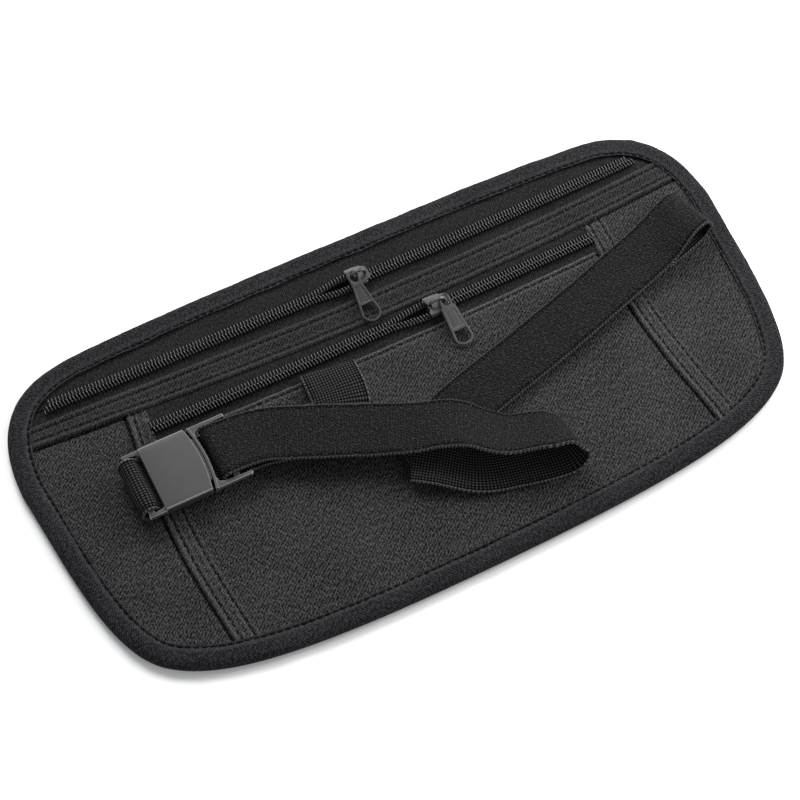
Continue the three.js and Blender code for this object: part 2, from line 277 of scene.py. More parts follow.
# ---- materials ----
class Nodes:
    """Short calls for building a node material."""

    def __init__(self, name):
        self.material = bpy.data.materials.new(name)
        self.material.use_nodes = True
        self.tree = self.material.node_tree
        self.shader = self.tree.nodes["Principled BSDF"]

    def put(self, kind, inputs=None, **settings):
        node = self.tree.nodes.new("ShaderNode" + kind)
        for key, value in settings.items():
            setattr(node, key, value)
        for key, value in (inputs or {}).items():
            self.set(node.inputs[key], value)
        return node

    def set(self, socket, value):
        if isinstance(value, bpy.types.NodeSocket):
            self.tree.links.new(value, socket)
        else:
            socket.default_value = value

    def math(self, operation, a, b=0.0, clamp=False):
        node = self.put("Math", operation=operation, use_clamp=clamp)
        self.set(node.inputs[0], a)
        self.set(node.inputs[1], b)
        return node.outputs[0]

    def times(self, a, b, clamp=False):
        return self.math("MULTIPLY", a, b, clamp)

    def plus(self, a, b):
        return self.math("ADD", a, b)

    def minus(self, a, b):
        return self.math("SUBTRACT", a, b)

    def mix(self, factor, a, b):
        node = self.put("Mix", data_type="RGBA", clamp_factor=False)
        self.set(node.inputs["Factor"], factor)
        self.set(node.inputs["A"], a)
        self.set(node.inputs["B"], b)
        return node.outputs["Result"]

    def coords(self, uv=True, turn=0.0, scale=(1, 1, 1)):
        """UVs are in millimetres; object coordinates are scaled to millimetres."""
        source = self.put("TexCoord").outputs["UV" if uv else "Object"]
        factor = 1.0 if uv else 1000.0
        mapping = self.put("Mapping", {"Vector": source, "Rotation": (0, 0, math.radians(turn)),
                                                 "Scale": tuple(factor * s for s in scale)})
        return mapping.outputs[0]

    def noise(self, vector, scale, detail=2.0, roughness=0.5):
        return self.put("TexNoise", {"Vector": vector, "Scale": scale, "Detail": detail,
                                               "Roughness": roughness}).outputs["Fac"]

    def wave(self, vector, period, axis="X", distortion=0.0, detail_scale=1.0):
        """A sine from 0 to 1 that repeats every period millimetres along an axis."""
        return self.put("TexWave", {"Vector": vector, "Scale": 2 * math.pi / (20.0 * period),
                                              "Distortion": distortion, "Detail Scale": detail_scale},
                        bands_direction=axis).outputs["Fac"]

    def shaded(self, tone):
        """The tone, with the mesh's painted shade and painted highlights added, and never below 0."""
        shade = self.put("Attribute", attribute_name="shade").outputs["Fac"]
        return self.math("MAXIMUM", self.plus(tone, shade), 0.0)

    def worn_and_highlit(self, start, gain):
        """1 on sharp outer edges, which are painted lighter: partly rub wear, partly a painted highlight."""
        edge = self.put("NewGeometry").outputs["Pointiness"]
        return self.times(self.minus(edge, start), gain, clamp=True)

    def bump(self, height, strength, distance):
        return self.put("Bump", {"Height": height, "Strength": strength,
                                           "Distance": distance}).outputs[0]

    def finish(self, color, roughness, normal=None, **extra):
        self.set(self.shader.inputs["Base Color"], color)
        self.set(self.shader.inputs["Roughness"], roughness)
        if normal is not None:
            self.set(self.shader.inputs["Normal"], normal)
        for key, value in extra.items():
            self.set(self.shader.inputs[key.replace("_", " ")], value)
        return self.material


def grey(value, tint=(1.0, 1.0, 1.0)):
    return (value * tint[0], value * tint[1], value * tint[2], 1.0)


def woven_cloth(name, dark, light, thread=0.85, turn=0.0, depth=0.6, slub=0.6, tint=(1, 1, 1.03)):
    """Twill or oxford cloth: crossing threads, a faint diagonal, light flecks and patchy wear."""
    n = Nodes(name)
    flat = n.coords(turn=turn)
    wobble = n.noise(flat, 0.5, 2.0)
    warp = n.wave(flat, thread, "X", 3.0, 1.6)
    weft = n.wave(flat, thread, "Y", 3.0, 1.6)
    diagonal = n.wave(n.coords(turn=turn + 45), thread * 1.15, "X", 3.0, 1.6)
    weave = n.times(n.times(warp, weft), 0.7)
    weave = n.plus(weave, n.times(diagonal, 0.3))
    flecks = n.noise(n.coords(turn=turn + 30, scale=(1.4, 0.6, 1.0)), 1.35, 2.0, 0.65)
    flecks = n.times(n.minus(flecks, 0.45), 8.0, clamp=True)
    patches = n.noise(flat, 0.035, 3.0, 0.55)
    ribs = n.times(n.minus(diagonal, 0.25), 1.6, clamp=True)
    tone = n.plus(n.times(ribs, 1.0 - slub), n.times(flecks, slub))
    tone = n.plus(tone, n.times(n.minus(patches, 0.5), 0.35))
    # The mesh's painted shade and painted highlights are added to the tone here.
    color = n.mix(n.shaded(tone), grey(dark, tint), grey(light, tint))
    relief = n.plus(n.times(weave, 0.9), n.times(flecks, 0.6))
    relief = n.plus(relief, n.times(wobble, 0.3))
    normal = n.bump(relief, depth, 0.0003)
    rough = n.plus(n.times(flecks, 0.15), 0.72)
    return n.finish(color, rough, normal, Sheen_Weight=0.02, Sheen_Roughness=0.4,
                    Sheen_Tint=(0.85, 0.87, 0.92, 1), Specular_IOR_Level=0.06)


def elastic_cloth(name, dark, light, plush):
    """Elastic webbing. The face is a plush, speckled twill; the back shows a fine square grid of cords."""
    n = Nodes(name)
    along = n.coords()
    if plush:
        twill = n.wave(n.coords(turn=28), 1.0, "X", 6.0, 2.2)
        cross = n.wave(along, 0.95, "Y", 2.5, 1.5)
        fuzz = n.noise(along, 1.35, 2.0, 0.7)
        fuzz = n.times(n.minus(fuzz, 0.515), 9.0, clamp=True)
        relief = n.plus(n.times(twill, 0.25), n.times(fuzz, 0.6))
        relief = n.plus(relief, n.times(cross, 0.15))
        tone, strength = relief, 0.7
    else:
        cords = n.wave(along, 1.0, "X", 0.4, 1.0)
        picks = n.wave(along, 1.0, "Y", 0.4, 1.0)
        fuzz = n.noise(along, 1.2, 3.0, 0.7)
        knots = n.times(cords, picks)
        relief = n.plus(n.times(knots, 1.2), n.times(cords, 0.3))
        tone = n.times(knots, n.plus(fuzz, 0.7), clamp=True)
        strength = 0.9
    # The mesh's painted shade and painted highlights are added to the tone here.
    color = n.mix(n.shaded(tone), grey(dark), grey(light))
    normal = n.bump(relief, strength, 0.0003)
    return n.finish(color, 0.8, normal, Sheen_Weight=0.02, Sheen_Roughness=0.4,
                    Sheen_Tint=(0.8, 0.82, 0.88, 1), Specular_IOR_Level=0.05)


def thread_material(name, value, rough):
    n = Nodes(name)
    twist = n.wave(n.coords(uv=False, turn=35), 0.32, "X", 0.5)
    color = n.mix(twist, grey(value * 0.6), grey(value * 1.4))
    return n.finish(color, rough, n.bump(twist, 0.5, 0.0001), Specular_IOR_Level=0.1)


def nylon_material(name, value, rough):
    n = Nodes(name)
    grain = n.noise(n.coords(uv=False), 0.8, 3.0)
    color = n.mix(grain, grey(value * 0.7), grey(value * 1.5))
    roughness = n.plus(n.times(grain, 0.2), rough)
    return n.finish(color, roughness, n.bump(grain, 0.15, 0.0001), Specular_IOR_Level=0.6)


def painted_metal(name, value, rough, metal, worn_and_highlit_grey):
    """Painted zinc: slight orange peel, tiny pits, and a lighter colour along the edges, partly rub wear and
    partly a painted highlight.
    """
    n = Nodes(name)
    at = n.coords(uv=False)
    peel = n.noise(at, 1.6, 3.0)
    pits = n.noise(at, 6.0, 2.0, 0.6)
    # The edges' lighter colour: a painted highlight together with rub wear.
    edge = n.times(n.worn_and_highlit(0.53, 9.0), n.plus(peel, 0.25), clamp=True)
    color = n.mix(edge, grey(value, (1, 1.01, 1.04)), grey(worn_and_highlit_grey, (1, 1, 1.02)))
    roughness = n.plus(n.times(pits, 0.16), rough)
    relief = n.plus(peel, n.times(pits, 0.4))
    return n.finish(color, roughness, n.bump(relief, 0.05, 0.0001), Metallic=metal, Specular_IOR_Level=0.5)


def clip_plastic(name, value):
    """Satin moulded plastic: fine spark texture, faint rub marks, and edges painted much lighter, partly wear
    and partly a painted highlight.
    """
    n = Nodes(name)
    at = n.coords(uv=False)
    spark = n.noise(at, 7.0, 2.0, 0.6)
    cloud = n.noise(at, 0.12, 2.0)
    rubs = n.noise(n.coords(uv=False, turn=30, scale=(0.25, 3.0, 1.0)), 0.9, 4.0, 0.7)
    tint = (0.99, 1, 1.02)
    color = n.mix(cloud, grey(value * 0.88, tint), grey(value * 1.2, tint))
    # Edges four times lighter: a painted highlight together with some wear.
    color = n.mix(n.worn_and_highlit(0.52, 7.0), color, grey(value * 4, tint))
    roughness = n.plus(n.times(rubs, 0.16), n.times(spark, 0.1))
    roughness = n.plus(roughness, 0.42)
    return n.finish(color, roughness, n.bump(spark, 0.08, 0.0001), Specular_IOR_Level=0.35)


MATERIALS = {
    "panel": woven_cloth("panel_cloth", 0.0005, 0.06, turn=8, depth=0.9, slub=0.62),
    "strip": woven_cloth("strip_cloth", 0.0005, 0.036, turn=3, depth=0.9, slub=0.6),
    "binding": woven_cloth("binding_cloth", 0.001, 0.034, thread=0.7, depth=0.7, slub=0.65,
                           tint=(0.98, 0.98, 1.08)),
    "tape": woven_cloth("zip_tape_cloth", 0.001, 0.022, thread=0.6, depth=0.4, slub=0.6),
    "lining": woven_cloth("lining_cloth", 0.004, 0.02, thread=0.5, depth=0.3, slub=0.4),
    "elastic_face": elastic_cloth("elastic_face", 0.0002, 0.033, True),
    "elastic_back": elastic_cloth("elastic_back", 0.001, 0.06, False),
    "thread": thread_material("sewing_thread", 0.0015, 0.8),
    "coil": nylon_material("zip_coil_nylon", 0.003, 0.22),
    "black": painted_metal("black_paint", 0.004, 0.36, 0.0, 0.12),
    "gunmetal": painted_metal("gunmetal_paint", 0.03, 0.36, 0.35, 0.2),
    # Lighter copies of the black and gunmetal finishes for narrow rounded edges: painted highlights.
    "black_edge": painted_metal("black_paint_edge", 0.045, 0.34, 0.1, 0.12),
    "gunmetal_edge": painted_metal("gunmetal_paint_edge", 0.09, 0.34, 0.4, 0.2),
    "clip": clip_plastic("clip_satin_plastic", 0.024),
    # The clip's lighter copy for narrow rounded edges: a painted highlight.
    "clip_edge": clip_plastic("clip_satin_plastic_edge", 0.11),
}


def dress(piece, material, body, record_slot, *nodes):
    """Give a piece its material and its body, and hide the CAD nodes that it stands for. record_slot is not
    used.
    """
    piece.data.materials.clear()
    piece.data.materials.append(MATERIALS[material])
    if nodes:
        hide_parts(*nodes)
    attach(piece, body)
    return piece


def dress_hard(piece, angle, material, body, record_slot, node):
    """Dress a hard piece. Its narrow rounded edges take a lighter copy of its material than its flat faces: a
    painted highlight.
    """
    piece.data.shade_smooth()
    piece.data.set_sharp_from_angle(angle=math.radians(angle))
    dress(piece, material, body, record_slot, node)
    # The lighter copy on rounded edges is a painted highlight.
    piece.data.materials.append(MATERIALS[material + "_edge"])
    for face in piece.data.polygons:
        if max(abs(part) for part in face.normal) < FLAT_FACE:
            face.material_index = 1


# ---- pouch outline ----
def outline_points():
    """The pouch's outline, anticlockwise from the middle of the bottom edge, as points 1 mm apart."""
    a, top, bottom = HALF_LENGTH, HALF_HEIGHT, -HALF_HEIGHT
    half = np.array([
        (0, bottom), (a * 0.55, bottom), (a * 0.76, bottom + 4.4), (a * 0.87, bottom + 17),
        (a * 0.97, bottom + 29), (a * 0.975, bottom + 60), (a, top - 44),
        (a * 1.005, top - 14), (a * 0.9, top - 3.5), (a * 0.74, top - 1.9),
        (a * 0.5, top + 0.1), (a * 0.3, top), (0, top)])
    t = np.linspace(0, 1, 120, endpoint=False)[:, None]
    right = np.vstack([(1 - t) ** 3 * half[k] + 3 * (1 - t) ** 2 * t * half[k + 1]
                       + 3 * (1 - t) * t * t * half[k + 2] + t ** 3 * half[k + 3] for k in (0, 3, 6, 9)])
    left = (right * (-1, 1))[::-1]
    loop = np.vstack([right, left, right[:1]])
    return resample(np.column_stack([loop, np.zeros(len(loop))]), 1.0)[:-1, :2]


OUTLINE = outline_points()
INWARD = unit((np.roll(OUTLINE, -3, 0) - np.roll(OUTLINE, 3, 0))[:, ::-1] * (-1, 1))


def inset_loop(inset):
    return OUTLINE + INWARD * inset


def edge_at(at, side, inset, axis):
    """Where the outline, moved inwards, crosses a place along one axis, on its low (-1) or high (+1) side."""
    loop = inset_loop(inset)
    part = loop[loop[:, 1 - axis] * side > 0]
    part = part[np.argsort(part[:, axis])]
    return np.interp(at, part[:, axis], part[:, 1 - axis])


# ---- seam lines, as functions of x or y ----
def bowed(points):
    xs, ys = zip(*points)
    fit = np.polyfit(xs, ys, min(4, len(points) - 1))
    return lambda x: np.polyval(fit, np.clip(x, xs[0], xs[-1]))


seam_left = bowed([(-62, -93.0), (-30, -96.0), (-7, -96.6), (20, -94.6), (36, -92.8)])
seam_right = bowed([(-62, 87.8), (-30, 84.6), (-6, 83.4), (20, 84.8), (36, 85.8)])
strip_low = bowed([(-126, 38.4), (-92, 35.8), (-30, 32.9), (40, 31.8), (85, 34.0), (126, 36.4)])
strip_high = bowed([(-126, 46.0), (-92, 44.7), (-30, 43.2), (40, 42.4), (85, 44.3), (126, 46.4)])
pocket_hem = bowed([(-94, 22.6), (-50, 21.6), (0, 20.9), (50, 21.3), (86, 22.4)])


def upper_zip_y(x):
    return middle("upper_zip_coil_top")[1] - 2.0 + 1.6 * (np.asarray(x, float) / 118) ** 2


def lower_zip_y(x):
    return middle("lower_zip_coil_top")[1] - 1.7 + 0.7 * (np.asarray(x, float) / 85) ** 2


BROAD = Ripples(3, 62)
CREASE = Ripples(11, 24)
FINE = Ripples(21, 9)
PUCKER = Ripples(31, 5.5)


def front_height(x, y):
    """Height of the front cloth: a gentle puff low down, soft creases, and puckers at the sewn lines."""
    x, y = np.asarray(x, float), np.asarray(y, float)
    puff = 0.75 * smooth(6, -26, y) * smooth(-66, -44, y) * smooth(128, 100, abs(x))
    calm = 0.35 + 0.65 * smooth(14, -16, y)
    creases = 0.42 * BROAD(x, y) + 0.24 * CREASE(x, y) + 0.07 * FINE(x, y)
    along = bell(y, strip_low(x) + 1.8, 2.2) + bell(y, strip_high(x) - 1.6, 2.2)
    along = along + bell(y, pocket_hem(x) - 1.6, 2.0)
    across = bell(x, seam_left(y) + 4.5, 4.5) + bell(x, seam_right(y) + 4.5, 4.5)
    sewn = along + across * smooth(37, 33, y)
    return FRONT_Z - 0.25 + puff + calm * creases + 0.12 * sewn * PUCKER(x, y)


# ---- cloth sheets ----
def crowded(count):
    """Numbers from 0 to 1, closer together near both ends, where a sheet has its hems."""
    t = np.linspace(0, 1, count)
    return t - 0.75 * np.sin(2 * np.pi * t) / (2 * np.pi)


def panel_sheet(node, material, left, right, bottom, top, nu, nv, record_slot="fabric", also=(),
                lift=0.0, thick=0.45, folds="", rows=(), grooves=()):
    """A sheet between left and right lines (functions of y) and bottom and top lines (functions of x).
    It stands for a CAD node and for those in also. folds names its hemmed sides (l, r, b, t). rows and
    grooves are functions of x and y that are 0 on a line of stitches or on a crease beside a seam."""
    u, v = np.meshgrid(crowded(nu), crowded(nv), indexing="ij")
    x = np.zeros_like(u)
    for _ in range(6):
        y = bottom(x) * (1 - v) + top(x) * v
        x = left(y) * (1 - u) + right(y) * u
    y = bottom(x) * (1 - v) + top(x) * v
    z = front_height(x, y) + lift
    shade = np.zeros_like(z)
    for fold in folds:
        far = {"l": x - x[:1], "r": x[-1:] - x, "b": y - y[:, :1], "t": y[:, -1:] - y}[fold]
        z = z + 0.2 * bell(far, 0.9, 0.8) - 0.4 * np.sqrt(np.clip(1 - far / 0.5, 0, 1))
        # A painted highlight along each folded edge, partly wear.
        shade += 0.3 * bell(far, 0.6, 0.5)
    for row in rows:
        z = z - 0.26 * bell(row(x, y), 0, 0.55)
        # A painted highlight on the puckers beside each row of stitches, and painted shade along the row.
        shade += 0.3 * bell(abs(row(x, y)), 1.0, 0.5) - 0.12 * bell(row(x, y), 0, 0.4)
    for groove in grooves:
        z = z - 0.55 * bell(groove(x, y), 0, 0.8)
        # Painted shade in the crease beside a seam, for the shadow gap there.
        shade -= 0.7 * bell(groove(x, y), 0, 0.45)
    n, m = x.shape
    upper = np.stack([x, y, z], -1).reshape(-1, 3)
    verts = np.concatenate([upper, upper - (0, 0, thick)])
    faces = grid_faces(n, m, flip=True).tolist() + grid_faces(n, m, start=n * m).tolist()
    rim = ([i * m for i in range(n)] + [(n - 1) * m + j for j in range(1, m)]
           + [i * m + m - 1 for i in range(n - 2, -1, -1)] + [j for j in range(m - 2, 0, -1)])
    faces += [(a, b, b + n * m, a + n * m) for a, b in zip(rim, rim[1:] + rim[:1])]
    sheet = make_mesh(node + "_cloth", verts, faces, uv=verts[:, :2])
    set_shade(sheet, np.tile(shade.ravel(), 2))
    dress(face_out(sheet), material, "pouch", record_slot, node, *also)


# ---- stitches ----
def stitches(name, path, pitch=STITCH_PITCH, length=2.0, radius=0.32, sink=0.0, seed=5):
    """A row of sewing stitches: short rounded threads laid end to end along a path of points."""
    line = resample(np.asarray(path, float), 0.25)
    run = run_along(line)
    rng = np.random.default_rng(seed)
    around, rings = 6, 5
    polar = np.linspace(0, np.pi, rings + 2)[1:-1]
    ring = np.linspace(0, 2 * np.pi, around, endpoint=False)
    verts, faces = [], []
    for centre in np.arange(pitch / 2, run[-1] - pitch / 4, pitch):
        size = length * rng.uniform(0.9, 1.08)
        start, mid, end = (np.array([np.interp(centre + offset, run, line[:, k]) for k in range(3)])
                           for offset in (-size / 2, 0, size / 2))
        ahead = end - start
        ahead /= np.linalg.norm(ahead) + 1e-9
        side = np.array([-ahead[1], ahead[0], 0]) / max(math.hypot(ahead[0], ahead[1]), 1e-9)
        up = np.cross(ahead, side)
        ahead = ahead + side * rng.normal(0, 0.04)
        base = len(verts)
        verts.append(mid - ahead * size / 2 - up * (sink + radius * 0.8))
        for p in polar:
            along = -math.cos(p) * size / 2
            drop = radius * 0.8 * (2 * abs(along) / size) ** 4
            for r in ring:
                verts.append(mid + ahead * along + side * math.cos(r) * radius * math.sin(p) ** 0.6
                             + up * (math.sin(r) * radius * 0.75 * math.sin(p) ** 0.6 - drop - sink))
        verts.append(mid + ahead * size / 2 - up * (sink + radius * 0.8))
        faces += [(base, base + 1 + (k + 1) % around, base + 1 + k) for k in range(around)]
        faces += grid_faces(rings, around, close_columns=True, start=base + 1).tolist()
        last = len(verts) - 1
        faces += [(last - around + k, last - around + (k + 1) % around, last) for k in range(around)]
    return face_out(make_mesh(name, verts, faces))


def row_on_cloth(name, xs, ys, lift, **settings):
    z = front_height(xs, ys) + lift - 0.2
    row = stitches(name, np.column_stack([xs, ys, z]), **settings)
    return dress(row, "thread", "pouch", "fabric")


# ---- pouch ----
def under_binding(side, along):
    """The cloth's edge, hidden under the binding, as a function of y or x."""
    return lambda t: edge_at(t, side, CLOTH_INSET, "xy".index(along))


LEFT_EDGE, RIGHT_EDGE = under_binding(-1, "y"), under_binding(1, "y")
BOTTOM_EDGE, TOP_EDGE = under_binding(-1, "x"), under_binding(1, "x")
SEAM_ROWS = (2.3, 6.6)      # from a seam to its two rows of stitches
HEM_ROW = 1.7               # from the pocket's hem down to its stitches
STRIP_ROWS = (2.3, 2.2)     # from the middle strip's lower and upper sides to its stitches
TAB_WIDTH = 7.2
CENTRE_LIFT, TAB_LIFT, RIGHT_LIFT, STRIP_LIFT = 0.1, 0.42, 0.45, 0.62


def across_seam(seam, d):
    return lambda x, y: x - seam(y) - d


def shifted(line, d):
    return lambda t: line(t) + d


def front_panels():
    left_rows = [across_seam(seam_left, d) for d in SEAM_ROWS]
    right_rows = [across_seam(seam_right, d) for d in SEAM_ROWS]
    hem_row = [lambda x, y: y - pocket_hem(x) + HEM_ROW]
    beside_left, beside_right = across_seam(seam_left, -0.5), across_seam(seam_right, -0.5)
    under_strip, below_strip = shifted(strip_low, 1.5), lambda x, y: y - strip_low(x) + 0.5
    panel_sheet("front_panel_centre", "panel", seam_left, shifted(seam_right, 1.5), BOTTOM_EDGE, pocket_hem,
                420, 240, lift=CENTRE_LIFT, folds="lt", rows=left_rows + hem_row, grooves=[beside_right])
    panel_sheet("front_panel_left", "panel", LEFT_EDGE, shifted(seam_left, 2.0), BOTTOM_EDGE, under_strip,
                100, 230, lift=-0.35, grooves=[beside_left, below_strip])
    panel_sheet("front_panel_right", "panel", seam_right, RIGHT_EDGE, BOTTOM_EDGE, under_strip,
                120, 230, also=["zip_end_tab_right"], lift=RIGHT_LIFT, folds="l", rows=right_rows,
                grooves=[below_strip])
    panel_sheet("zip_end_tab_left", "panel", seam_left, shifted(seam_left, TAB_WIDTH),
                shifted(pocket_hem, -0.8), under_strip, 40, 50,
                lift=TAB_LIFT, folds="lr", rows=left_rows, grooves=[below_strip])
    ys = np.linspace(-57.5, 33.5, 90)
    on_tab = np.where(ys > 21.5, TAB_LIFT, CENTRE_LIFT)
    for k, d in enumerate(SEAM_ROWS):
        row_on_cloth(f"stitches_seam_left_{k + 1}", seam_left(ys) + d, ys, on_tab, seed=40 + k)
        row_on_cloth(f"stitches_seam_right_{k + 1}", seam_right(ys) + d, ys, RIGHT_LIFT, seed=50 + k)
    xs = np.linspace(-92, 84, 170)
    row_on_cloth("stitches_pocket_hem", xs, pocket_hem(xs) - HEM_ROW, CENTRE_LIFT, seed=60)


def middle_strip():
    low_row, high_row = STRIP_ROWS
    rows = [lambda x, y: y - strip_low(x) - low_row, lambda x, y: y - strip_high(x) + high_row]
    panel_sheet("middle_strip", "strip", LEFT_EDGE, RIGHT_EDGE, strip_low, strip_high, 500, 60,
                lift=STRIP_LIFT, folds="bt", rows=rows)
    xs = np.linspace(-124.5, 124.5, 240)
    row_on_cloth("stitches_strip_low", xs, strip_low(xs) + low_row, STRIP_LIFT, seed=61)
    row_on_cloth("stitches_strip_high", xs, strip_high(xs) - high_row, STRIP_LIFT, seed=62)


OPEN_REACH = 17.0     # how far behind the slider the zip's halves come apart


def opening(x, zip_name):
    """How far the two halves of a zip stand apart behind its slider, from 0 to 1."""
    slider = middle(f"{zip_name}_zip_slider")[0] - 3.0
    return smooth(slider - OPEN_REACH, slider - 3, x) * (x <= slider + 2.5)


def zip_tapes():
    layout = {"upper": (upper_zip_y, strip_high, TOP_EDGE, LEFT_EDGE, RIGHT_EDGE),
              "lower": (lower_zip_y, pocket_hem, shifted(strip_low, 1.5), shifted(seam_left, 3.0),
                        shifted(seam_right, 0.5))}
    for zip_name, (zip_y, below, above, left, right) in layout.items():
        def upper_side(x):
            return zip_y(x) + 0.25 + 1.4 * opening(x, zip_name)

        def lower_side(x):
            return zip_y(x) - 0.25 - 0.9 * opening(x, zip_name)

        for side, bottom, top, nv in (("top", upper_side, above, 24),
                                      ("bottom", shifted(below, -1.5), lower_side, 16)):
            panel_sheet(f"{zip_name}_zip_tape_{side}", "tape", left, right, bottom, top, 260, nv,
                        record_slot="zip_tape", lift=-0.15, thick=0.4)


COIL_REACH = 1.3       # half the loop's width across the zip
COIL_RISE = 0.62       # half the loop's height
FILAMENT = 0.3


def zip_coil(zip_name, side, sign, zip_y, x0, x1):
    """One half of a coil zip: a flattened helix of nylon, with a sewing thread over its outer legs."""
    turns = (x1 - x0) / COIL_PITCH
    steps = int(turns * 14)
    t = np.linspace(0, 1, steps)
    angle = 2 * np.pi * turns * t + (0 if sign > 0 else np.pi)
    x = x0 + (x1 - x0) * t

    def squared(c):
        return np.sign(c) * np.abs(c) ** 0.8

    def line_y(x, reach):
        return zip_y(x) + sign * (reach + (1.7 if sign > 0 else 1.3) * opening(x, zip_name))

    y = line_y(x, COIL_REACH - 0.3) - sign * COIL_REACH * squared(np.cos(angle))
    z = front_height(x, zip_y(x)) + 0.95 + COIL_RISE * squared(np.sin(angle)) + 0.1
    x = x + 0.18 * COIL_PITCH * np.sin(angle)
    path = np.column_stack([x, y, z])
    ahead = unit(np.gradient(path, axis=0))
    side_way = unit(np.cross(ahead, (1, 0, 0)))
    up = np.cross(side_way, ahead)
    ring = np.linspace(0, 2 * np.pi, 6, endpoint=False)
    tube = (path[:, None] + FILAMENT * (np.cos(ring)[None, :, None] * side_way[:, None]
                                        + np.sin(ring)[None, :, None] * up[:, None]))
    coil = face_out(sweep(f"{zip_name}_zip_coil_{side}_helix", tube))
    dress(coil, "coil", "pouch", "zip_coil", f"{zip_name}_zip_coil_{side}")
    xs = np.arange(x0 + 1, x1 - 1, COIL_PITCH / 3)
    ys = line_y(xs, 2 * COIL_REACH - 0.75)
    zs = front_height(xs, zip_y(xs)) + 1.05 + COIL_RISE * 0.95
    thread = stitches(f"{zip_name}_zip_coil_{side}_thread", np.column_stack([xs, ys, zs]),
                      pitch=COIL_PITCH * 2, length=COIL_PITCH * 2.1, radius=0.16, seed=70 + int(sign))
    dress(thread, "thread", "pouch", "zip_tape")


def zips():
    for side, sign in (("top", 1), ("bottom", -1)):
        reach = 116.0 + (0.5 if sign < 0 else -1.5)
        zip_coil("upper", side, sign, upper_zip_y, -reach, reach)
        zip_coil("lower", side, sign, lower_zip_y, seam_left(28) + TAB_WIDTH - 0.8, seam_right(28) + 0.6)


def edge_binding():
    """Folded tape round the pouch's edge: two legs joined by a round edge, sewn near the inner side."""
    outer = [(8.0, 3.85), (7.9, 4.1), (7.6, 4.22), (7.35, 4.02), (7.1, 3.88), (6.85, 4.02), (6.5, 4.3),
             (6.0, 4.46), (5.2, 4.56), (3.8, 4.6), (2.6, 4.52), (1.5, 4.22), (0.7, 3.7), (0.2, 3.0),
             (0.0, 2.25), (0.15, 1.4), (0.6, 0.75), (1.4, 0.3), (2.6, 0.08), (5.0, 0.02), (8.0, 0.0)]
    inner = [(8.0, 0.45), (2.6, 0.55), (1.2, 0.95), (0.75, 1.6), (0.65, 2.3), (0.85, 3.0), (1.5, 3.62),
             (2.6, 4.0), (3.8, 4.08), (5.2, 4.0), (6.2, 3.8), (7.1, 3.45), (7.6, 3.6)]
    profile = np.array(outer + inner)
    inset, z = profile[:, 0], profile[:, 1]
    run = np.arange(len(OUTLINE)) * 1.0
    base = OUTLINE[:, None, :] + INWARD[:, None, :] * inset[None, :, None]
    x, y = base[..., 0], base[..., 1]
    top = smooth(1.2, 3.4, z)[None, :]
    ripple = 0.2 * Ripples(77, 16)(x, y) + 0.1 * Ripples(78, 5.6)(x, y)
    tucks = 0.12 * np.sin(2 * np.pi * run / STITCH_PITCH)[:, None] * bell(inset, 6.8, 1.6)[None, :]
    height = z[None, :] + top * (ripple + tucks - 0.02)
    sway = 0.22 * Ripples(79, 26)(x, y) * smooth(6.5, 8.0, inset)[None, :]
    xy = base + INWARD[:, None, :] * sway[..., None]
    rings = np.concatenate([xy, height[..., None]], -1)
    binding = sweep("edge_binding_tape", rings, grid_uv(run, run_along(profile)), closed=True)
    # Painted highlight on the binding's ridges, partly wear, and painted shade along its row of stitches, on
    # the top side only.
    painted_ridge_light = 0.4 * bell(inset, 6.3, 0.7) + 0.4 * bell(inset, 7.7, 0.3) - 0.1 * bell(inset, BINDING_ROW, 0.3)
    set_shade(binding, np.tile(painted_ridge_light * (z > 2.3), len(run)))
    dress(face_out(binding), "binding", "pouch", "binding", "edge_binding")
    loop = inset_loop(BINDING_ROW)
    loop = np.vstack([loop, loop[:1]])
    front = stitches("stitches_binding_front", np.column_stack([loop, np.full(len(loop), 4.02)]),
                     length=2.3, radius=0.55, seed=80)
    dress(front, "thread", "pouch", "binding")
    back = stitches("stitches_binding_back", np.column_stack([loop[::-1], np.full(len(loop), 0.02)]),
                    radius=0.16, sink=-0.02, seed=81)
    dress(back, "thread", "pouch", "binding")


def rim_sheet(name, z_of, thick, inset, rings=46):
    """A whole sheet of cloth out to the pouch's edge, made of rings that shrink to the middle."""
    shrink = np.linspace(1, 0.02, rings) ** 0.85
    loop = inset_loop(inset)
    xy = loop[None] * shrink[:, None, None]
    z = z_of(xy[..., 0], xy[..., 1])
    n, m = z.shape
    top = np.concatenate([xy, z[..., None]], -1).reshape(-1, 3)
    verts = np.vstack([top, top - (0, 0, thick)])
    faces = grid_faces(n, m, close_columns=True).tolist()
    faces += grid_faces(n, m, close_columns=True, start=n * m, flip=True).tolist()
    faces += [(j, n * m + j, n * m + (j + 1) % m, (j + 1) % m) for j in range(m)]
    faces += [list(range((n - 1) * m, n * m))[::-1], list(range(2 * n * m - m, 2 * n * m))]
    return face_out(make_mesh(name, verts, faces, uv=verts[:, :2]))


def back_and_lining():
    swell = Ripples(91, 48)

    def back_z(x, y):
        inside = smooth(1.02, 0.86, np.hypot(x / HALF_LENGTH, y / HALF_HEIGHT * 0.97))
        return 0.95 - 0.4 * inside + 0.08 * swell(x, y)

    back = rim_sheet("back_panel_cloth", back_z, 0.45, CLOTH_INSET)
    dress(back, "panel", "pouch", "fabric", "back_panel")
    lining = rim_sheet("pocket_lining_cloth", lambda x, y: 2.0 + 0.06 * swell(x, y), 0.25, 5.5, rings=24)
    dress(lining, "lining", "pouch", "lining", "pocket_lining")


# ---- sliders and pulls ----
PULL_TILT = 11.2      # degrees that a resting pull's tip hangs down towards the cloth


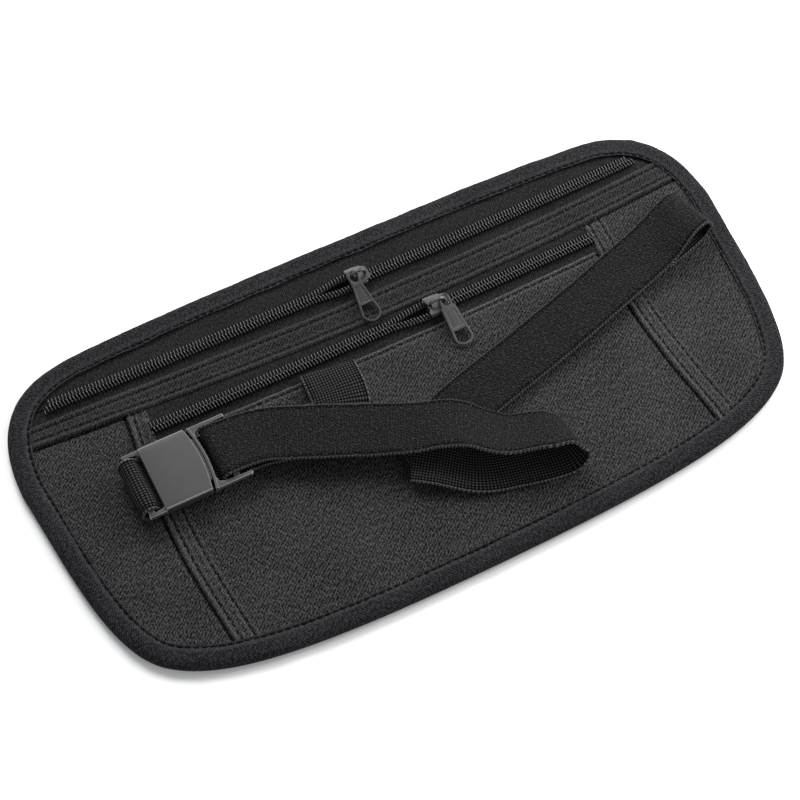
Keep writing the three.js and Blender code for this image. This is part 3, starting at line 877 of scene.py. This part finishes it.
def bail_path(span, base, top):
    half = span / 2
    left = [(-half - 0.35, 0, base), (-half - 0.15, 0, top - 1.3), (-half + 0.9, 0, top - 0.25)]
    return catmull(left + [(0, 0, top)] + [(-x, y, z) for x, y, z in left[::-1]], 0.2)


def flat_bar(name, path, wide, thick):
    """A bar of rounded-rectangle section swept along a path in the XZ plane."""
    ahead = unit(np.gradient(path, axis=0))
    across = np.array([0.0, 1.0, 0.0])
    up = np.cross(ahead, across)
    loop = np.array(rounded_loop(-wide / 2, wide / 2, -thick / 2, thick / 2, min(wide, thick) * 0.42, 3))
    rings = path[:, None] + loop[None, :, :1] * across + loop[None, :, 1:] * up[:, None]
    return face_out(sweep(name, rings))


def slider_body(zip_name, material):
    cx, cy, _ = middle(f"{zip_name}_zip_slider")
    low_z, top_z = (corner[2] for corner in corners(f"{zip_name}_zip_slider"))

    def wing(scale):
        w, nose = 3.75 * scale, 2.9 * scale
        loop = arc(-3.4, -w + 0.8, 0.8, 180, 270, 4) + [(0.2, -w)]
        loop += arc(2.6, -nose + 1.5, 1.5, -70, 0, 5) + arc(2.6, nose - 1.5, 1.5, 0, 70, 5) + [(0.2, w)]
        loop += arc(-3.4, w - 0.8, 0.8, 90, 180, 4) + [(-3.5, 1.3), (-3.0, 0.0), (-3.5, -1.3)]
        return loop

    pieces = [slab("wing_top", [wing(1.0)], 5.5, 6.7, 0.4),
              slab("wing_bottom", [wing(0.94)], low_z, 2.7, 0.3)]
    for sign in (-1, 1):
        skirt = rounded_loop(-3.7, 2.3, 2.75, 3.7, 0.35, 3)
        pieces.append(slab("skirt", [[(x, sign * y) for x, y in skirt][::sign]], 4.3, 6.2, 0.28))
    pieces.append(slab("post", [rounded_loop(-3.4, -1.6, -0.35, 0.35, 0.2, 3)], 2.2, 6.0, 0.1))
    pieces.append(flat_bar("bail", bail_path(4.6, 6.4, top_z - 0.45), 1.35, 0.85))
    body = join_pieces(f"{zip_name}_zip_slider_body", pieces)
    body.data.transform(Matrix.Translation((cx * MM, cy * MM, 0)))
    dress_hard(body, 42, material, f"{zip_name}_slider", f"{zip_name}_slider", f"{zip_name}_zip_slider")


def tab_outline(stations, tip_round):
    """A tab's outline from half-widths down its length, with a rounded tip, drawn towards -Y."""
    right = [(w, -y) for y, w in stations]
    w_end, y_end = right[-1]
    tip = oval(0, y_end, w_end, -tip_round, range(8, 180, 12))
    left = [(-x, y) for x, y in right[::-1]]
    return (right + tip + left)[::-1]


def zip_pull(zip_name, material, teardrop):
    pivot = joint_at(f"{zip_name}_pull_lift")
    reach = pivot.y / MM - corners(f"{zip_name}_zip_pull")[0][1]
    tilt = math.radians(PULL_TILT)
    length = reach / math.cos(tilt)
    eye = rounded_loop(-1.25, 1.25, -3.3, 0.95, 1.0 if teardrop else 0.45, 5)
    head = oval(0, 0.1, 2.05 if teardrop else 2.0, 1.55, range(10, 171, 16))
    if teardrop:
        outline = tab_outline([(-0.4, 2.1), (2.6, 1.95), (4.6, 2.0), (8.5, 2.6), (length - 3.4, 3.6)], 3.4)
        window = tab_outline([(length - 6.9, 2.2), (length - 3.4, 2.85)], 2.7)
        inner = tab_outline([(4.7, 1.25), (8.3, 1.75), (length - 7.9, 2.05)], 0.3)
        rim = 0.22
    else:
        outline = tab_outline([(-0.6, 2.15), (3.1, 2.15), (3.7, 2.7), (10, 3.05), (length - 2.9, 3.5)], 2.9)
        window = tab_outline([(length - 5.9, 2.35), (length - 2.9, 2.7)], 2.2)
        inner = tab_outline([(5.0, 1.75), (length - 7.2, 2.15)], 0.3)
        rim = 0.16
    outline = outline + head
    plates = [slab("tab", [outline, eye, window], -0.5, 0.5 - rim, 0.22),
              slab("tab_rim", [outline, eye, window, inner], -0.2, 0.5, 0.17)]
    pull = join_pieces(f"{zip_name}_zip_pull_tab", plates)
    pull.data.transform(Matrix.Translation(pivot) @ Matrix.Rotation(tilt, 4, "X"))
    dress_hard(pull, 42, material, f"{zip_name}_pull", f"{zip_name}_slider", f"{zip_name}_zip_pull")


def sliders():
    for zip_name, material, teardrop in (("upper", "black", True), ("lower", "gunmetal", False)):
        slider_body(zip_name, material)
        zip_pull(zip_name, material, teardrop)


# ---- straps ----
def turn_round(x, y, z, radius, start, stop, steps):
    """Stations of a turn about an axis along Y."""
    angles = np.radians(np.linspace(start, stop, steps + 1))
    return [(x + radius * math.cos(a), y, z + radius * math.sin(a)) for a in angles]


def webbing(name, stations, seed, part=None):
    """Elastic webbing along stations of (x, y, z, turn, roll, thickness share), where the last three may be
    left out for 0, 0 and 1. turn is the heading of the strap's width from +Y towards -X in degrees, and roll
    tips it about its length. part keeps only the length before or after the strap's outermost point."""
    path = catmull([station + (0, 0, 1)[len(station) - 3:] for station in stations], STRAP_STEP)
    centre, turn, roll, share = path[:, :3], np.radians(path[:, 3]), np.radians(path[:, 4]), path[:, 5]
    ahead = unit(np.gradient(centre, axis=0))
    half = np.column_stack([-np.sin(turn), np.cos(turn), np.zeros(len(turn))])
    half = unit(half - ahead * (half * ahead).sum(1)[:, None])
    normal = np.cross(ahead, half)
    half, normal = (half * np.cos(roll)[:, None] + normal * np.sin(roll)[:, None],
                    normal * np.cos(roll)[:, None] - half * np.sin(roll)[:, None])
    run = np.arange(len(centre)) * STRAP_STEP
    w = STRAP_WIDTH / 2
    cord = w - CORD_RADIUS
    u = np.concatenate([[-1, -0.985, -0.96, -0.93, -0.9, -0.86], np.linspace(-0.8, 0.8, 17),
                        [0.86, 0.9, 0.93, 0.96, 0.985, 1]]) * w
    bead = np.sqrt(np.clip(1 - ((abs(u) - cord) / CORD_RADIUS) ** 2, 0, 1)) * (abs(u) > cord)
    body = STRAP_THICK / 2 * (abs(u) <= cord) * (1 - 0.28 * bell(abs(u), w - 1.25, 0.45))
    thickness = np.maximum(body, 0.68 * bead)
    scallop = np.sin(2 * np.pi * run / CORD_PITCH)[:, None] * smooth(w - 1.3, w - 0.3, abs(u))
    ribs = 0.035 * np.cos(2 * np.pi * u / 2.1)
    wave = 0.16 * Ripples(seed, 17)(run[:, None], u) + 0.05 * Ripples(seed + 1, 6)(run[:, None], u)
    across = u * (1 + 0.006 * np.sin(run / 7.0)[:, None]) + np.sign(u) * 0.07 * scallop
    up = thickness * (1 + 0.14 * scallop) + ribs
    sides = []
    for sign, columns in ((1, slice(None)), (-1, slice(-2, 0, -1))):
        offset = ((wave + sign * up) * share[:, None])[:, columns, None] * normal[:, None]
        sides.append(centre[:, None] + across[:, columns, None] * half[:, None] + offset)
    rings = np.concatenate(sides, 1)
    if part:
        outermost = int(np.argmax(centre[:, 0]))
        keep = slice(None, outermost + 1) if part == "before" else slice(outermost, None)
        rings, run = rings[keep], run[keep]
    around = np.concatenate([u, u[-2:0:-1]])
    piece = sweep(name, rings, grid_uv(run, around)[:, ::-1])
    # Painted highlight on the corded edges, pulsing with the scallops, partly wear, and painted shade in the
    # groove inside each cord.
    edge = 1.3 * (abs(around) > w - 0.45) - 0.6 * bell(abs(around), w - 1.15, 0.4)
    set_shade(piece, edge * (0.6 + 0.6 * np.sin(2 * np.pi * run / CORD_PITCH)[:, None]))
    for side in ("elastic_face", "elastic_back"):
        piece.data.materials.append(MATERIALS[side])
    column = np.arange(len(piece.data.polygons)) % len(around)
    piece.data.polygons.foreach_set("material_index", (column < len(u) - 1).astype(np.int32))
    return face_out(piece)


def elastic(name, stations, seed, node, body=None, part=None):
    """A length of webbing that stands for a CAD node, which it hides, and rides on a body when one is given.
    """
    piece = webbing(name, stations, seed, part)
    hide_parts(node)
    if body:
        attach(piece, body)
    return piece


def straps():
    clip_y = middle("clip_housing")[1]
    bar_x, bar_z = -69.5, middle("clip_frame")[2]
    flap = [(x, y, front_height(x, y) + rise, 13)
            for x, y, rise in ((102, 13.2, 0.8), (108, 14.8, 0.95), (114.4, 16.6, 1.1), (119.7, 18.4, 1.5))]
    first = [
        (122.3, 19.2, 7.1, 8, 3), (122.3, 19.2, 9.7, 8, 8), (119.6, 18.8, 12.0, 9, 13),
        (114.6, 17.4, 12.2, 14, 13), (109, 15.3, 10.4, 17, 9), (102.5, 12.8, 8.5, 17, 3),
        (92, 9.6, 7.6, 16), (82, 6.6, 7.6, 16), (70, 3.0, 7.2, 17), (43, -4.4, 6.7, 16),
        (17, -11, 6.0, 14), (-6, -18, 5.2, 10)]
    fold_back = turn_round(-15, -21.5, 6.5, 1.5, 270, 90, 5)
    second = [(-7, -27, 8, -24), (5, -35, 5.6, -20), (19, -38.8, 4.9, -14),
              (31, -41.2, 4.9, -13)]
    loop_over = [(35.0, -41.4, 6.2, -16, 8), (37.2, -40.3, 9.4, -20, 24), (34.9, -38.2, 12.6, -24, 36)]
    third = [(30, -36.4, 13.4, -29, 28), (25, -34.0, 12.5, -30, 24), (18, -31.4, 11.6, -29, 22),
             (11.6, -27.2, 12.4, -28, 19), (5.6, -22.6, 14.2, -29, 15), (-1.2, -18.8, 14.2, -31, 10),
             (-10, -15.2, 12.6, -32, 5), (-20, -10.4, 11.4, -28, 2), (-32.5, -4.4, 10.9, -25),
             (-45, 1.2, 10.7, -17), (-56, clip_y - 0.9, 10.6, -6), (-64, clip_y, 11.3)]
    round_bar = turn_round(bar_x - 2.1, clip_y, bar_z, 2.25, 90, 270, 6)
    sewn = [(-63, clip_y, 7.5)]
    whole = flap + first + fold_back + second + loop_over + third + round_bar + sewn
    elastic("strap_anchor_right", whole, 101, "strap_stub_right", "pouch", part="before")
    strap = elastic("strap_long_webbing", whole, 101, "strap_long", part="after")
    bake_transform(strap)

    left_bar = -100.2
    short = [(-95.6, clip_y, 4.3, 0, 0, 0.55), (-98, clip_y, 4.5), (left_bar - 0.4, clip_y, 4.9),
             (left_bar - 2.7, clip_y, 7.0)]
    short += turn_round(left_bar, clip_y, bar_z, 2.35, 165, 25, 5)
    short += [(-97.1, clip_y, 8.6), (-96.4, clip_y, 7.3), (-94.4, clip_y, 6.45),
              (-86, clip_y, 6.2), (-76, clip_y + 0.4, 5.75), (-66, 7.6, 5.1, -2),
              (-56, 7.0, 4.9, -4), (-46, 4.4, 4.9, 10), (-38, 1.8, 5.2, 34),
              (-31, 1.6, 5.7, 60), (-26.6, 5.4, 6.2, 80), (-25.2, 10.6, 6.8, 85),
              (-24.8, 16.0, 7.0, 85), (-24.5, 19.6, 6.4, 84), (-24.3, 21.0, 5.1, 84, 0, 0.95)]
    elastic("strap_short_webbing", short, 111, "strap_short", "clip_half")
    stub = [(x, clip_y, z, 0, 0, share)
            for x, z, share in ((-92.2, 3.9, 0.4), (-93.6, 4.1, 0.5), (-95.4, 4.3, 0.55))]
    elastic("strap_stub_left_webbing", stub, 121, "strap_stub_left", "pouch")


# ---- clip ----
SHELL_X = -95.35           # the left side of the housing's shell
CROSS_X = (-76.6, -75.6)   # the two sides of the frame's cross-piece
CLIP_BOW = 1.4             # how far the shell and the cross-piece bow


def clip_ears(outline, y0, y1, z0, z1):
    """A tapered ear at each end of a clip half, from points of (x, distance in from the side)."""
    return [slab("ear", [[(x, y - side * inwards) for x, inwards in outline][::-side]], z0, z1, 0.3)
            for side, y in ((1, y1), (-1, y0))]


def clip_bar(x, cy, z0, z1):
    """The bar that the elastic turns round."""
    return slab("bar", [rounded_loop(x - 1, x + 1, cy - 11.4, cy + 11.4, 0.5, 3)], z0, z1, 0.3)


def bow(pieces, y0, y1, places, shares):
    """Bend pieces towards -X at both their ends in y, by a share of the bow that depends on x."""
    for vertex in [v for piece in pieces for v in piece.data.vertices]:
        share = np.interp(vertex.co.x / MM, places, shares)
        vertex.co.x -= CLIP_BOW * MM * share * ((2 * vertex.co.y / MM - y0 - y1) / (y1 - y0)) ** 2


def clip_housing():
    (x_low, y0, z_low), (x_high, y1, z_high) = corners("clip_housing")
    cy, half = (y0 + y1) / 2, (y1 - y0) / 2
    section = finer(rounded_loop(-half, half, z_low, z_high, 0.8, 5))
    hole = finer(rounded_loop(-8.6, 8.6, 8.8, 10.8, 0.4, 3))
    shell = slab("shell", [section, hole], 0, x_high - SHELL_X, 0.35)
    shell.data.transform(Matrix(((0, 0, 1, SHELL_X * MM), (1, 0, 0, cy * MM), (0, 1, 0, 0), (0, 0, 0, 1))))
    bow([shell], y0, y1, (SHELL_X, x_high), (0, 1))
    end_wall = slab("end_wall", [rounded_loop(SHELL_X + 0.4, SHELL_X + 2.6, cy - 8.8, cy + 8.8, 0.3, 2)],
                    8.7, 10.9, 0.1)
    x_end = x_low + 0.3
    ears = clip_ears([(x_end + 0.5, 0), (SHELL_X + 1.6, 0), (SHELL_X + 1.6, 2.2), (SHELL_X - 0.1, 2.1),
                      (SHELL_X - 0.9, 1.5), (x_end + 0.2, 1.05), (x_end, 0.5)], y0, y1, 8.8, 10.9)
    housing = join_pieces("clip_housing_shell", [shell, end_wall, clip_bar(-100, cy, 9.0, 10.7)] + ears)
    dress_hard(housing, 40, "clip", "clip_half", "clip", "clip_housing")


def clip_frame():
    y0, y1 = (corner[1] for corner in corners("clip_housing"))
    (x_low, _, _), (x_end, _, _) = corners("clip_frame")
    cy = (y0 + y1) / 2
    x0, x1 = CROSS_X
    ears = clip_ears([(x0 + 0.3, 0), (x_end - 0.5, 0), (x_end, 0.5), (x_end - 0.3, 1.05), (x1 + 2.2, 1.5),
                      (x1 + 0.7, 2.3), (x1, 4.2), (x0 + 0.3, 4.2)], y0, y1, 8.7, 10.95)
    cross = slab("cross", [finer(rounded_loop(x0, x1, y0, y1, 0.5, 4))], 8.1, 11.4, 0.35)
    tongue = slab("tongue", [rounded_loop(x_low, x0 + 0.6, cy - 8.2, cy + 8.2, 1.6, 5)],
                  9.1, 10.5, 0.3)
    pieces = [clip_bar(-69.5, cy, 8.8, 10.2), cross, tongue] + ears
    bow(pieces, y0, y1, (-79, -77, -75.5, -72), (0, 1, 1, 0))
    body = join_pieces("clip_frame_body", pieces)
    dress_hard(body, 40, "clip", "strap", "clip", "clip_frame")


# ---- stage: floor, lights and camera ----
def stage():
    bpy.ops.mesh.primitive_plane_add(size=6, location=(0, 0, -0.0001))
    floor = bpy.context.object
    floor.name = "floor"
    n = Nodes("pale_floor")
    floor.data.materials.append(n.finish((0.86, 0.86, 0.86, 1), 0.9))
    world = bpy.data.worlds.new("studio")
    bpy.context.scene.world = world
    world.use_nodes = True
    background = world.node_tree.nodes["Background"].inputs
    background["Color"].default_value = (0.96, 0.98, 1.0, 1)
    background["Strength"].default_value = 0.42
    for name, spot, size, power in (("key", (0.08, 0.7, 0.66), 0.5, 10.5),
                                    ("side", (0.5, 0.05, 0.34), 0.4, 4.2),
                                    ("fill", (0.2, -0.9, 0.8), 1.0, 3)):
        light = bpy.data.lights.new(name, "AREA")
        light.size, light.energy = size, power
        lamp = place(bpy.data.objects.new(name, light))
        lamp.location = spot
        lamp.rotation_euler = (-Vector(spot)).to_track_quat("-Z", "Y").to_euler()
    camera_data = bpy.data.cameras.new("camera")
    camera_data.lens, camera_data.sensor_width = 76.5, 36
    camera = place(bpy.data.objects.new("camera", camera_data))
    look, up = Vector((0.2447, 0.3909, -0.8873)).normalized(), Vector((0.3957, 0.7952, 0.4594))
    right = look.cross(up).normalized()
    up = right.cross(look)
    turn = Matrix((right, up, -look)).transposed().to_4x4()
    camera.matrix_world = Matrix.Translation(Vector((-149.2, -227.4, 516.0 + FRONT_Z)) * MM) @ turn
    bpy.context.scene.camera = camera
    bpy.context.scene.view_settings.view_transform = "Standard"


back_and_lining()
front_panels()
middle_strip()
zip_tapes()
zips()
edge_binding()
sliders()
straps()
clip_housing()
clip_frame()
stage()
